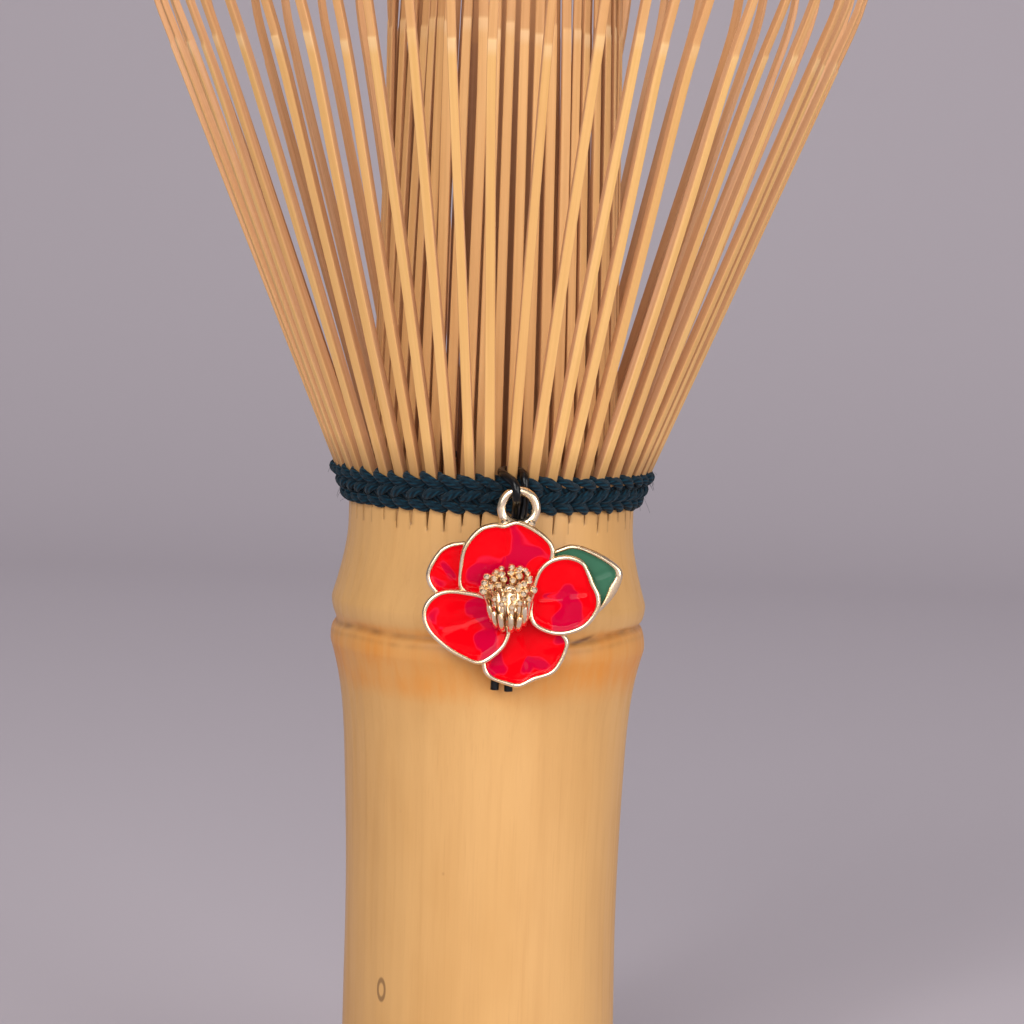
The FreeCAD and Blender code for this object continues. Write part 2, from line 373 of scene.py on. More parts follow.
def culm_skin():
    """Cured bamboo skin: straw, with long fibres, faint blotches, freckles, a stained node and painted shade in
    the node's groove and the splits.
    """
    s = Shader("culm_skin", Specular_IOR_Level=0.35, Coat_Weight=0.12, Coat_Roughness=0.30)
    place = s.place()
    blotch = s.noise(s.stretch(place, (150, 150, 45)), 1.0, 3.0)
    streak = s.noise(s.stretch(place, (1500, 1500, 40)), 1.0, 3.0, 0.6)
    fibre = s.noise(s.stretch(place, (6500, 6500, 130)), 1.0, 2.0, 0.6)
    tone = s.remap(blotch, 0.32, 0.68)
    colour = s.mix(tone, srgb(210, 160, 97), srgb(218, 169, 106))
    colour = s.mix(s.remap(streak, 0.45, 0.75, 0.0, 0.22), colour, srgb(194, 141, 80))
    colour = s.mix(s.remap(fibre, 0.55, 0.80, 0.0, 0.16), colour, srgb(182, 128, 72))
    speck = s.cells(s.stretch(place, (330, 330, 260)))
    patch = s.noise(s.stretch(place, (90, 90, 70)), 1.0, 1.0)
    speck = s.math("MULTIPLY", s.remap(speck, 0.035, 0.075, 1.0, 0.0), s.remap(patch, 0.54, 0.64))
    colour = s.mix(s.math("MULTIPLY", speck, 0.45), colour, srgb(148, 96, 54))
    ragged = s.remap(streak, 0.25, 0.70, 0.75, 1.1)
    stain_edge = s.math("MULTIPLY", s.value("stain"), ragged, clamp=True)
    colour = s.mix(stain_edge, colour, srgb(220, 144, 62))
    # the dark value: painted shade in the node's groove and the splits between the tines, and the real scar beside
    # the charm and a faint line under the groove
    colour = s.mix(s.value("dark"), colour, srgb(98, 62, 36))
    ring = s.math("SUBTRACT", s.far_from(place, FRECKLE, FRECKLE_SIZE), 1.0)
    ring = s.remap(s.math("ABSOLUTE", ring), 0.12, 0.42, 0.62, 0.0)
    colour = s.mix(ring, colour, srgb(86, 56, 36))
    rough = s.remap(streak, 0.3, 0.8, 0.40, 0.56)
    shape = s.bump(streak, 0.25, 0.05 * MM, s.bump(fibre, 0.25, 0.03 * MM))
    return s.set(Base_Color=colour, Roughness=rough, Normal=shape)


def culm_wood(name, light, deep):
    """Cut bamboo: pale wood dotted with the dark ends of its fibres."""
    s = Shader(name, Specular_IOR_Level=0.25)
    place = s.place()
    dots = s.cells(s.stretch(place, (1900, 1900, 260)))
    cloud = s.noise(s.stretch(place, (260, 260, 90)), 1.0, 3.0)
    colour = s.mix(s.remap(cloud, 0.3, 0.7), light, deep)
    colour = s.mix(s.remap(dots, 0.10, 0.32, 0.55, 0.0), colour, srgb(128, 84, 46))
    return s.set(Base_Color=colour, Roughness=s.remap(cloud, 0.3, 0.7, 0.62, 0.78),
                 Normal=s.bump(dots, 0.4, 0.05 * MM))


def tine_wood(name, skin_light, skin_deep, side_light, side_deep):
    """Split bamboo: smooth pale skin outside, and pinker fibrous wood on the split sides, with painted shade at
    the roots.
    """
    s = Shader(name, Specular_IOR_Level=0.32)
    grain = s.grain()
    streak = s.noise(s.stretch(grain, (2.6, 0.035, 1)), 1.0, 3.0, 0.6)
    fibre = s.noise(s.stretch(grain, (14.0, 0.16, 1)), 1.0, 2.0, 0.6)
    along = s.noise(s.stretch(grain, (0.4, 0.11, 1)), 1.0, 2.0)
    skin = s.mix(s.remap(streak, 0.3, 0.7), skin_light, skin_deep)
    side = s.mix(s.remap(streak, 0.35, 0.65), side_light, side_deep)
    side = s.mix(s.remap(fibre, 0.50, 0.75, 0.0, 0.35), side, srgb(178, 122, 82))
    colour = s.mix(s.value("skin"), side, skin)
    colour = s.mix(s.math("MULTIPLY", s.value("tone"), 0.30), colour, srgb(206, 146, 88))
    colour = s.mix(s.remap(along, 0.55, 0.75, 0.0, 0.16), colour, srgb(210, 150, 92))
    colour = s.mix(s.math("MULTIPLY", s.value("mark"), 0.34), colour, srgb(250, 222, 180))
    colour = s.mix(s.math("MULTIPLY", s.value("shaved"), 0.26), colour, srgb(214, 152, 94))
    # painted shade at the tines' roots, just above the binding
    colour = s.mix(s.value("dark"), colour, srgb(104, 66, 40))
    return s.set(Base_Color=colour, Roughness=s.remap(streak, 0.3, 0.7, 0.44, 0.58),
                 Normal=s.bump(fibre, 0.30, 0.03 * MM))


def thread_cloth():
    """Dyed cotton thread, nearly black with a blue-green cast, its plies showing as fine slants."""
    s = Shader("binding_cotton", Sheen_Weight=0.08, Sheen_Roughness=0.5, Specular_IOR_Level=0.15)
    grain = s.grain()
    plies = s.wave(s.stretch(grain, (4.0, 1.15, 1)), 0.9, 0.8)
    fluff = s.noise(s.place(), 9000, 3.0, 0.7)
    colour = s.mix(s.remap(plies, 0.2, 0.9), srgb(1, 22, 34), srgb(10, 50, 66))
    colour = s.mix(s.remap(fluff, 0.60, 0.78, 0.0, 0.30), colour, srgb(26, 70, 88))
    shape = s.bump(plies, 0.7, 0.06 * MM, s.bump(fluff, 0.35, 0.04 * MM))
    return s.set(Base_Color=colour, Roughness=s.remap(fluff, 0.3, 0.7, 0.76, 0.94), Normal=shape)


def cord_cloth():
    """Waxed black cord with a tight twist."""
    s = Shader("waxed_cord", Specular_IOR_Level=0.15, Coat_Weight=0.35, Coat_Roughness=0.06)
    twist = s.wave(s.stretch(s.place(), (900, 900, 900)), 1.0, 1.2)
    colour = s.mix(s.remap(twist, 0.2, 0.9), srgb(1, 2, 3), srgb(9, 11, 15))
    return s.set(Base_Color=colour, Roughness=s.remap(twist, 0.1, 0.9, 0.44, 0.30),
                 Normal=s.bump(twist, 0.4, 0.04 * MM))


def charm_gold():
    """Pale gold plating over a cast surface, a little pitted and worn."""
    s = Shader("pale_gold", Metallic=1.0)
    place = s.place()
    cast = s.noise(place, 1500, 3.0, 0.6)
    fine = s.noise(place, 7000, 2.0, 0.6)
    colour = s.mix(s.remap(cast, 0.3, 0.7), srgb(255, 236, 206), srgb(244, 214, 172))
    return s.set(Base_Color=colour, Roughness=s.remap(cast, 0.3, 0.7, 0.16, 0.30),
                 Normal=s.bump(cast, 0.22, 0.06 * MM, s.bump(fine, 0.12, 0.02 * MM)))


def enamel(name, bright, deep, glint):
    """Glossy transparent enamel: deeper where it is thicker, with painted shade in the dips of its face, painted
    reflections in the deep colour and painted highlights along their edges.
    """
    s = Shader(name, Specular_IOR_Level=0.0, Coat_Weight=0.38, Coat_Roughness=0.015, Coat_IOR=1.32,
               Roughness=0.3)
    place = s.place()
    # painted reflection: this noise lays out patches of the deep colour, and it also ripples the surface through
    # the bump below
    ripple_and_reflection = s.noise(s.stretch(place, (300, 300, 300)), 1.0, 1.0, 0.4, 0.6)
    # share of the deep colour: the glaze's thickness, painted shade in its dips and the painted reflection patches
    level = s.math("ADD", ripple_and_reflection, s.math("MULTIPLY", s.value("depth"), 0.24))
    depth = s.remap(level, 0.585, 0.635)
    # painted highlight: a pale line of the glint colour along the edges of the painted reflections
    rim = s.remap(s.math("ABSOLUTE", s.math("SUBTRACT", level, 0.60)), 0.0, 0.016, 0.40, 0.0)
    flecks = s.noise(place, 9000, 2.0, 0.7)
    colour = s.mix(depth, bright, deep)
    colour = s.mix(rim, colour, glint)
    colour = s.mix(s.remap(flecks, 0.62, 0.80, 0.0, 0.15), colour, bright)
    return s.set(Base_Color=colour, Normal=s.bump(ripple_and_reflection, 0.10, 0.25 * MM))


def plain_stage():
    s = Shader("studio_paper", Specular_IOR_Level=0.1)
    cloud = s.noise(s.place(), 3.0, 2.0)
    light = tuple(1.03 * c for c in BACKDROP) + (1.0,)
    deep = tuple(0.97 * c for c in BACKDROP) + (1.0,)
    return s.set(Base_Color=s.mix(cloud, light, deep), Roughness=0.9)


# ---- camera and tie cord ----
def make_camera():
    data = bpy.data.cameras.new("camera")
    data.lens = CAM_LENS
    data.sensor_width = 36
    data.clip_start = 0.01
    camera = add_object("camera", data)
    camera.location = (CAM_SIDE, -CAM_DISTANCE, BAND_HI.z + CAM_ABOVE_BAND)
    camera.rotation_euler = (pi / 2 - CAM_PITCH, 0, 0)
    camera.rotation_euler.rotate_axis("Z", CAM_ROLL)
    bpy.context.scene.camera = camera


CORD_D = 0.72 * MM
CORD_ROUTE = [
    (0.85, -14.22, 42.5),      # first cut end, below the flower
    (0.95, -14.21, 46.6),
    (1.25, -14.22, 50.4),
    (1.65, -14.08, 54.0),
    (2.10, -14.05, 56.7),      # behind the loop
    (2.15, -14.95, 58.15),     # through the loop
    (2.15, -16.05, 58.60),
    (2.05, -16.00, 59.90),     # over the loop's top bar
    (1.00, -14.80, 60.46),
    (0.81, -13.60, 60.58),     # between two tines
    (0.86, -12.40, 60.66),
    (2.20, -12.36, 60.66),     # behind the tine that holds it
    (2.57, -13.35, 60.58),     # between two tines
    (2.78, -14.48, 60.22),
    (2.85, -14.22, 58.30),     # down behind the loop
    (2.55, -14.10, 55.60),
    (2.15, -14.18, 52.00),
    (2.00, -14.21, 48.20),
    (1.95, -14.21, 44.50),
    (2.00, -14.20, 42.40),     # second cut end
]


def make_tie_cord(material):
    curve = bpy.data.curves.new("tie_cord_line", "CURVE")
    curve.dimensions = "3D"
    curve.bevel_depth = CORD_D / 2
    curve.bevel_resolution = 5
    curve.resolution_u = 12
    curve.use_fill_caps = True
    spline = curve.splines.new("NURBS")
    spline.points.add(len(CORD_ROUTE) - 1)
    for point, place in zip(spline.points, CORD_ROUTE):
        point.co = (place[0] * MM, place[1] * MM, place[2] * MM, 1)
    spline.order_u = 3
    spline.use_endpoint_u = True
    curve.materials.append(material)
    cord = add_object("tie_cord_line", curve)
    stand_for(cord, "handle", "tie_cord")


# ---- culm ----
def measured_outline(node, keep_above):
    """Outer radius of a round CAD node by height, as a sorted list of (height, radius)."""
    rings = {}
    for vertex in frame["nodes"][node].data.vertices:
        radius = hypot(vertex.co.x, vertex.co.y)
        if radius > keep_above:
            key = round(vertex.co.z, 5)
            rings[key] = max(rings.get(key, 0), radius)
    return sorted(rings.items())


def from_outline(outline, z):
    for (z0, r0), (z1, r1) in zip(outline, outline[1:]):
        if z <= z1:
            return lerp(r0, r1, max(0.0, (z - z0) / (z1 - z0)))
    return outline[-1][1]


NODE_GROOVE_Z = 46.7 * MM
NODE_BAND = (41.5 * MM, 46.5 * MM)     # stained stretch below the groove
SCAR_AZIMUTH = radians(37)
SLIT_DEPTH = 0.8 * MM
SLIT_HALF = 0.12                       # half width of an open split, as a share of the pitch
SLOTS = (0.16, 0.28, 0.40, 0.52, 0.64, 0.76, 0.88)     # skin points between two splits, in pitches
CULM_BEND = 0.38 * MM
GROOVE_HALF, GROOVE_DEPTH = 0.26 * MM, 0.22 * MM
SCAR_HALF = radians(5.5)
# The cup above the node, down its wall to its floor, and the plain part of the base: (radius, height).
CUP = ((8.7 * MM, 51.0 * MM), (7.9 * MM, 48.6 * MM), (6.2 * MM, 47.5 * MM), (3.0 * MM, 47.4 * MM))
CUP_RIM_R = 9.2 * MM
BASE_MIDDLE_R = 9.3 * MM
SKIN_TOP = BAND_LO.z + 0.8 * MM        # the skin is split and ends inside the binding


def groove_height(azimuth):
    """The node's groove wanders a little and dips at the front."""
    offset = wander(cos(azimuth) * 1.7, sin(azimuth) * 1.7, 4.0)
    return NODE_GROOVE_Z - 0.45 * MM * cos(azimuth + 0.35) + 0.5 * MM * offset


def culm_row(z, radius, first_slit):
    """One ring of the outer skin, with the splits between the tines cut in and darkened with painted shade."""
    row = []
    for tine in range(TINES):
        rng = random.Random(900 + tine)
        slit_low = first_slit + rng.uniform(0.0, 1.0) ** 1.5 * 1.6 * MM
        opening = smooth_step(slit_low, slit_low + 2.6 * MM, z)
        half = SLIT_HALF * (0.25 + opening) * rng.uniform(0.7, 1.3)
        split = z > slit_low
        for slot in (0.0, half, *SLOTS, 1 - half):
            azimuth = (tine + 0.5 + slot) * PITCH
            skin_r, dark, stain = culm_marks(radius, azimuth, z)
            # painted shade: the bottom of an open split is nearly black, and its edges and the skin next to it are
            # a little darker
            if split and slot == 0.0:
                skin_r -= SLIT_DEPTH * min(1.0, 3 * opening + 0.1)
                dark = 0.95
            elif split and slot in (half, 1 - half):
                dark = max(dark, 0.35)
            elif split and slot in (SLOTS[0], SLOTS[-1]):
                dark = max(dark, 0.10)
            place = around(skin_r, azimuth, z)
            place.x += culm_bend(z)
            row.append((place, (azimuth * 12, z / MM), {"dark": dark, "stain": stain}))
    return row


def culm_bend(z):
    """The culm leans a little to one side below its node."""
    return CULM_BEND * (1 - z / NODE_GROOVE_Z) if z < NODE_GROOVE_Z else 0.0


def make_culm(skin, cut, inner):
    outline = measured_outline("handle", 11 * MM)
    first_slit = ROOT_LO.z - 0.1 * MM
    heights = [0.5 * MM + k * MM for k in range(40)]
    heights += [40.5 * MM + k * 0.16 * MM for k in range(1, 63)]
    while heights[-1] < first_slit - 0.3 * MM:
        heights.append(heights[-1] + 0.35 * MM)
    heights += [lerp(first_slit, SKIN_TOP, k / 14) for k in range(15)]
    build = Build()
    rows = []
    for z in heights:
        mean = sum(from_outline(outline, z + k * 0.12 * MM) for k in (-1, 0, 1)) / 3
        rows.append(culm_row(z, mean, first_slit))
    count = len(rows[0])

    def plain_rows(*profile):
        """Plain rings, one for each (radius, height), with as many points as a ring of the skin."""
        azimuths = [atan2(place.x - culm_bend(place.z), -place.y) for place, _, _ in rows[0]]
        return [[(around(radius, azimuth, z), (azimuth * 12, z / MM), {}) for azimuth in azimuths]
                for radius, z in profile]

    base_r = from_outline(outline, 0.5 * MM)
    build.ring_rows(rows)
    rim = [rows[-1]] + plain_rows((11.5 * MM, SKIN_TOP), (11.45 * MM, ROOT_LO.z), (CUP_RIM_R, ROOT_LO.z))
    build.ring_rows(rim, kind=1)
    cup = [rim[-1]] + plain_rows(*CUP)
    starts = build.ring_rows(cup, kind=2)
    build.cap(starts[-1], count, kind=2)
    base = plain_rows((BORE_R, 0.5 * MM), (BORE_R + 0.4 * MM, 0.05 * MM), (BORE_R + 0.8 * MM, 0),
                      (BASE_MIDDLE_R, 0), (base_r - 0.45 * MM, 0), (base_r - 0.12 * MM, 0.14 * MM))
    base.append(rows[0])
    build.ring_rows(base, kind=1)
    bore = plain_rows((3.5 * MM, BORE_TOP + 1.0 * MM), (BORE_R - 0.5 * MM, BORE_TOP + 0.1 * MM),
                      (BORE_R, BORE_TOP - 0.6 * MM), (BORE_R, 20 * MM))
    bore.append(base[0])
    starts = build.ring_rows(bore, kind=2)
    build.cap(starts[0], count, kind=2)
    culm = build.piece("culm", [skin, cut, inner], sharp=radians(50))
    make_outward(culm, weld=True)
    stand_for(culm, "handle", "handle")


def culm_marks(radius, azimuth, z):
    """Natural unevenness, the groove of the node with painted shade in it, its stain, and the scar beside the
    charm.
    """
    spot = Vector((sin(azimuth) * 2.2, cos(azimuth) * 2.2, z / (14 * MM)))
    radius += 0.10 * MM * noise.noise(spot)
    ribs = wander(sin(azimuth) * 14, cos(azimuth) * 14, z / (40 * MM))
    radius += 0.025 * MM * ribs
    groove = groove_height(azimuth)
    gap = (z - groove) / GROOVE_HALF
    cut = exp(-gap * gap)
    radius -= GROOVE_DEPTH * cut
    # painted shade in the node's groove, shaped like its cut
    dark = 0.62 * cut * (0.65 + 0.5 * wander(azimuth * 9, 0, 7))
    lip = (z - groove + 0.75 * MM) / (0.22 * MM)
    patchy = 0.6 + 0.8 * wander(azimuth * 14, 3, 0)
    dark = max(dark, 0.22 * exp(-lip * lip) * patchy)
    below = smooth_step(NODE_BAND[0] - 1.4 * MM, NODE_BAND[0] + 1.2 * MM, z)
    above = 1 - smooth_step(NODE_BAND[1], NODE_BAND[1] + 0.9 * MM, z)
    stain = below * above * (0.62 + 0.45 * wander(azimuth * 3, z / (2.5 * MM), 1))
    scar = SCAR_AZIMUTH - azimuth
    across = atan2(sin(scar), cos(scar)) / SCAR_HALF
    height = (z - groove - 0.10 * MM + 0.22 * MM * across) / (0.20 * MM)
    dark = max(dark, 0.95 * exp(-across ** 4 - height * height))
    return radius, max(0.0, dark), max(0.0, stain)


# ---- tines ----
def straight_stations(radius, lean, top, mark_z, widths, thicks, first=0):
    """Stations of the straight part above the hinge, closer where the tine starts to be shaved."""
    stations = []
    heights = [HINGE_Z + k * (top - HINGE_Z) / SPANS for k in range(first, SPANS + 1)]
    for z in sorted(heights + [mark_z + k * 0.3 * MM for k in range(-6, 4)]):
        t = (z - HINGE_Z) / (top - HINGE_Z)
        stations.append((radius + tan(lean) * (z - HINGE_Z), z, lean, lerp(*widths, t), lerp(*thicks, t)))
    return stations


def outer_stations():
    """Stations of an outer tine: (radius, height, lean, width, thickness)."""
    root = [
        (12.30 * MM, ROOT_LO.z + 0.3 * MM, 0.0),
        (12.36 * MM, BAND_LO.z + 0.2 * MM, radians(6)),
        (12.75 * MM, BAND_LO.z + 1.4 * MM, radians(18)),
    ]
    stations = [(r, z, lean, OUT_W0, OUT_T0) for r, z, lean in root]
    stations += straight_stations(OUT_R, OUT_LEAN, BEND_Z, MARK_Z, (OUT_W0, OUT_W1), (OUT_T0, OUT_T1))
    radius, z, lean = stations[-1][:3]
    arcs = [(BEND_R, lerp(OUT_LEAN, BEND_LEAN, k / 4)) for k in range(1, 5)]
    arcs += [(CURL_R, lerp(BEND_LEAN, TIP_LEAN, k / 9)) for k in range(1, 10)]
    for number, (bend, next_lean) in enumerate(arcs, 1):
        radius += bend * (cos(next_lean) - cos(lean))
        z += bend * (sin(lean) - sin(next_lean))
        lean = next_lean
        t = number / len(arcs)
        stations.append((radius, z, lean, lerp(OUT_W1, OUT_TIP_W, t), lerp(OUT_T1, OUT_TIP_T, t)))
    return stations


def inner_stations():
    root = [(IN_R, ROOT_LO.z, 0.0, IN_W0, IN_T0), (IN_R, HINGE_Z, IN_LEAN, IN_W0, IN_T0)]
    return root + straight_stations(IN_R, IN_LEAN, IN_TOP_Z, IN_MARK_Z, (IN_W0, IN_W1), (IN_T0, IN_T1),
                                    first=1)


def add_tine(build, stations, azimuth, traits, mark_z):
    """One split tine. traits says how this one differs from its neighbours."""
    rows, length = [], 0.0
    top = stations[-1][1]
    last = None
    for radius, z, lean, width, thick in stations:
        t = max(0.0, (z - HINGE_Z) / (top - HINGE_Z))
        straighten = 1 - 0.8 * smooth_step(BEND_Z - 8 * MM, top, z)
        turned = azimuth + traits["sway"] * lerp(0.35, 1.25, t) * straighten
        side = traits["bow"] * sin(pi * t)
        out = traits["stand"] * t * t + traits["belly"] * sin(pi * t)
        width *= traits["width"]
        shaved = 1.0 if z > mark_z else 0.0
        step = SHAVED_DEPTH * shaved
        across = sideways(turned)
        face = around(radius + out, turned, z) + across * side
        normal = radial(turned) * cos(lean) - Vector((0, 0, sin(lean)))
        twist = traits["twist"] * t
        across, normal = (across * cos(twist) + normal * sin(twist),
                          normal * cos(twist) - across * sin(twist))
        half, edge = width / 2, -TINE_EDGE - step
        section = [
            (-half, edge, 0.25), (TINE_EDGE - half, -step, 1.0), (0, TINE_CROWN - step, 1.0),
            (half - TINE_EDGE, -step, 1.0), (half, edge, 0.25), (half, -thick * 0.5, 0.0),
            (half - TINE_CROWN, -thick, 0.0), (TINE_CROWN - half, -thick, 0.0),
            (-half, -thick * 0.5, 0.0),
        ]
        if last is not None:
            length += (face - last).length
        last = face
        mark = smooth_step(mark_z - 1.5 * MM, mark_z - 0.5 * MM, z) * (1 - shaved)
        # painted shade: darker where the tine comes out of the binding
        dark = 0.5 * (1 - smooth_step(HINGE_Z, HINGE_Z + 1.2 * MM, z))
        row = []
        for number, (a, b, skin) in enumerate(section):
            uv = (traits["seed"] * 3.7 + number * 0.35, length / MM + traits["seed"] * 11)
            values = {"skin": skin * (1 - 0.45 * shaved), "tone": traits["tone"],
                      "mark": mark * skin * traits["mark"], "shaved": shaved, "dark": dark}
            row.append((face + across * a + normal * b, uv, values))
        rows.append(row)
    build.closed_body(rows)


def group_of(group):
    first = group * PER_GROUP - PER_GROUP // 2
    return range(first, first + PER_GROUP)


def flex(piece):
    """Bakes the group's placement into its mesh."""
    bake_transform(piece)


# How far the front tines, from -72 to +72 degrees, stand to the side of their even places, in
# degrees.
FRONT_SWAY = (5.0, 5.2, 3.3, 2.3, 4.4, 4.5, 2.7, 0.2, -0.3, -1.1, -1.8,
              -0.3, 0.7, -0.1, -3.3, -4.5, -4.3, -3.2, -1.3, -2.4, -3.8)
FRONT_REACH = len(FRONT_SWAY) // 2


def tine_traits(seed, sway, stand, bow):
    rng = random.Random(seed)
    return {
        "seed": seed % 97, "sway": radians(sway), "stand": rng.gauss(0, stand),
        "bow": rng.gauss(0, bow), "belly": rng.gauss(0, bow), "width": rng.uniform(0.92, 1.08),
        "tone": rng.random(), "twist": rng.gauss(0, 0.10), "mark": rng.uniform(0.2, 1.0),
    }


def outer_sway(index):
    """Sideways lean of an outer tine: as seen in front, fading into a random one behind."""
    steps = (index + TINES // 2) % TINES - TINES // 2
    beyond = abs(steps) - FRONT_REACH
    if beyond <= 0:
        return FRONT_SWAY[steps + FRONT_REACH]
    edge = FRONT_SWAY[-1] if steps > 0 else FRONT_SWAY[0]
    return edge * max(0.0, 1 - beyond / 5) + random.Random(index % TINES).gauss(0, 0.9)


def make_tines(ring, material, stations, tine_of):
    """One ring of tines, a piece for each group. tine_of gives azimuth, traits, mark."""
    for group in range(GROUPS):
        build = Build()
        for index in group_of(group):
            azimuth, traits, mark_z = tine_of(group, index)
            add_tine(build, stations, azimuth, traits, mark_z)
        number = "%02d" % (group + 1)
        body = ring + "_tines_" + number
        piece = build.piece(ring + "_bundle_" + number, [material], sharp=radians(38))
        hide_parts(body)
        if group == 0:
            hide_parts(ring + "_tine_roots")
        flex(piece)


def outer_tine(group, index):
    rng = random.Random(index % TINES + OUTER_SEEDS[0])
    traits = tine_traits(OUTER_SEEDS[1] + index % TINES, outer_sway(index), 0.25 * MM, 0.14 * MM)
    return index * PITCH, traits, MARK_Z + rng.gauss(0, 0.28) * MM


def inner_tine(group, index):
    """The tines of a group gather a little towards its middle, clear of the next group."""
    rng = random.Random(index % TINES + INNER_SEEDS[0])
    gather = 0.35 * (group * PER_GROUP - index)
    sway = gather + rng.gauss(0, 0.6)
    traits = tine_traits(INNER_SEEDS[1] + index % TINES, sway, 0.40 * MM, 0.07 * MM)
    return index * PITCH + INNER_TURN, traits, IN_MARK_Z + rng.gauss(0, 0.35) * MM


# ---- binding ----
THREAD_R = 0.27 * MM
ROWS = 3
TWINE_STEPS = 12               # points of a strand between two tines
CORE_SIDES = 200
FIBRES = 46
FUZZ_SEED = 77


def skin_radius(z):
    """Outer face of the outer tines inside the binding."""
    t = smooth_step(BAND_LO.z - 0.5 * MM, BAND_HI.z, z)
    return lerp(12.5 * MM, OUT_R - 0.14 * MM, t)


def make_binding(material):
    """Rows of two-strand twining: each strand passes in front of one tine and behind the next."""
    build = Build()
    row_height = (BAND_HI.z - BAND_LO.z) / ROWS
    for row_number in range(ROWS):
        level = BAND_LO.z + (row_number + 0.5) * row_height
        slant = 1 if row_number % 2 else -1
        for strand in range(2):
            line, hints, sizes = [], [], []
            for k in range(TINES * TWINE_STEPS):
                azimuth = 2 * pi * k / (TINES * TWINE_STEPS)
                turn = pi * k / TWINE_STEPS + pi * strand
                front = cos(turn)
                depth = copysign(abs(front) ** 0.7, front)
                spot = Vector((sin(azimuth) * 9, cos(azimuth) * 9, row_number * 5.0 + strand))
                wobble = noise.noise(spot)
                rise = 0.30 + 0.10 * noise.noise(spot * 2.3)
                z = level + rise * row_height * slant * sin(turn) + 0.16 * MM * wobble
                if row_number == ROWS - 1:
                    z += 0.30 * MM * max(0.0, -front) + 0.08 * MM
                radius = skin_radius(z) - 0.26 * MM + 0.46 * MM * depth + 0.08 * MM * wobble
                line.append(around(radius, azimuth, z))
                hints.append(radial(azimuth))
                sizes.append(THREAD_R * (1.0 + 0.22 * max(0.0, front) + 0.2 * wobble))
            sweep(build, line, lambda i: circle(sizes[i], 10, 1.22), lambda i: hints[i], closed=True)
    core = []
    for z, inset in ((BAND_LO.z + 0.15 * MM, 0.9), (BAND_LO.z + 0.15 * MM, 0.12),
                     (BAND_HI.z - 0.35 * MM, 0.12), (BAND_HI.z - 0.35 * MM, 1.6)):
        row = []
        for k in range(CORE_SIDES):
            place = around(skin_radius(z) - inset * MM, 2 * pi * k / CORE_SIDES, z)
            row.append((place, (k / 8, z / MM), {}))
        core.append(row)
    build.ring_rows(core, closed_rows=True)
    piece = build.piece("binding_rows", [material], sharp=radians(70))
    stand_for(piece, "handle", "binding_thread")


def make_fuzz(material):
    """Loose fibres that stand off the binding."""
    rng = random.Random(FUZZ_SEED)
    build = Build()
    for _ in range(FIBRES):
        side = rng.choice((-1, 1))
        if rng.random() < 0.4:
            azimuth = side * radians(rng.uniform(60, 120))
        else:
            azimuth = rng.uniform(-pi, pi)
        z = rng.uniform(BAND_LO.z, BAND_HI.z)
        start = around(skin_radius(z) + 0.35 * MM, azimuth, z)
        out = radial(azimuth) * rng.uniform(0.3, 1.0) + Vector((0, 0, rng.uniform(-1.3, 0.6)))
        out += sideways(azimuth) * rng.uniform(-0.8, 0.8)
        length = rng.uniform(0.3, 1.1) * MM
        bend = Vector((0, 0, -rng.uniform(0.1, 0.7)))
        line = [start + out * (length * k / 5) + bend * (length * (k / 5) ** 2) for k in range(6)]
        hair = circle(0.011 * MM, 4)
        sweep(build, line, lambda i: hair, lambda i: radial(azimuth + 0.3))
    piece = build.piece("binding_fuzz", [material])
    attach(piece, "handle")


# ---- charm ----
FLOWER = Vector((1.55 * MM, 0, 50.3 * MM))
LAYER = 0.62 * MM
BROAD_SIDE = radians(-24)    # direction of the leaf's broad bevelled edge
LEAF_BROAD = 0.9
RIM_STEPS = 9                     # points of a petal's edge between two outline points
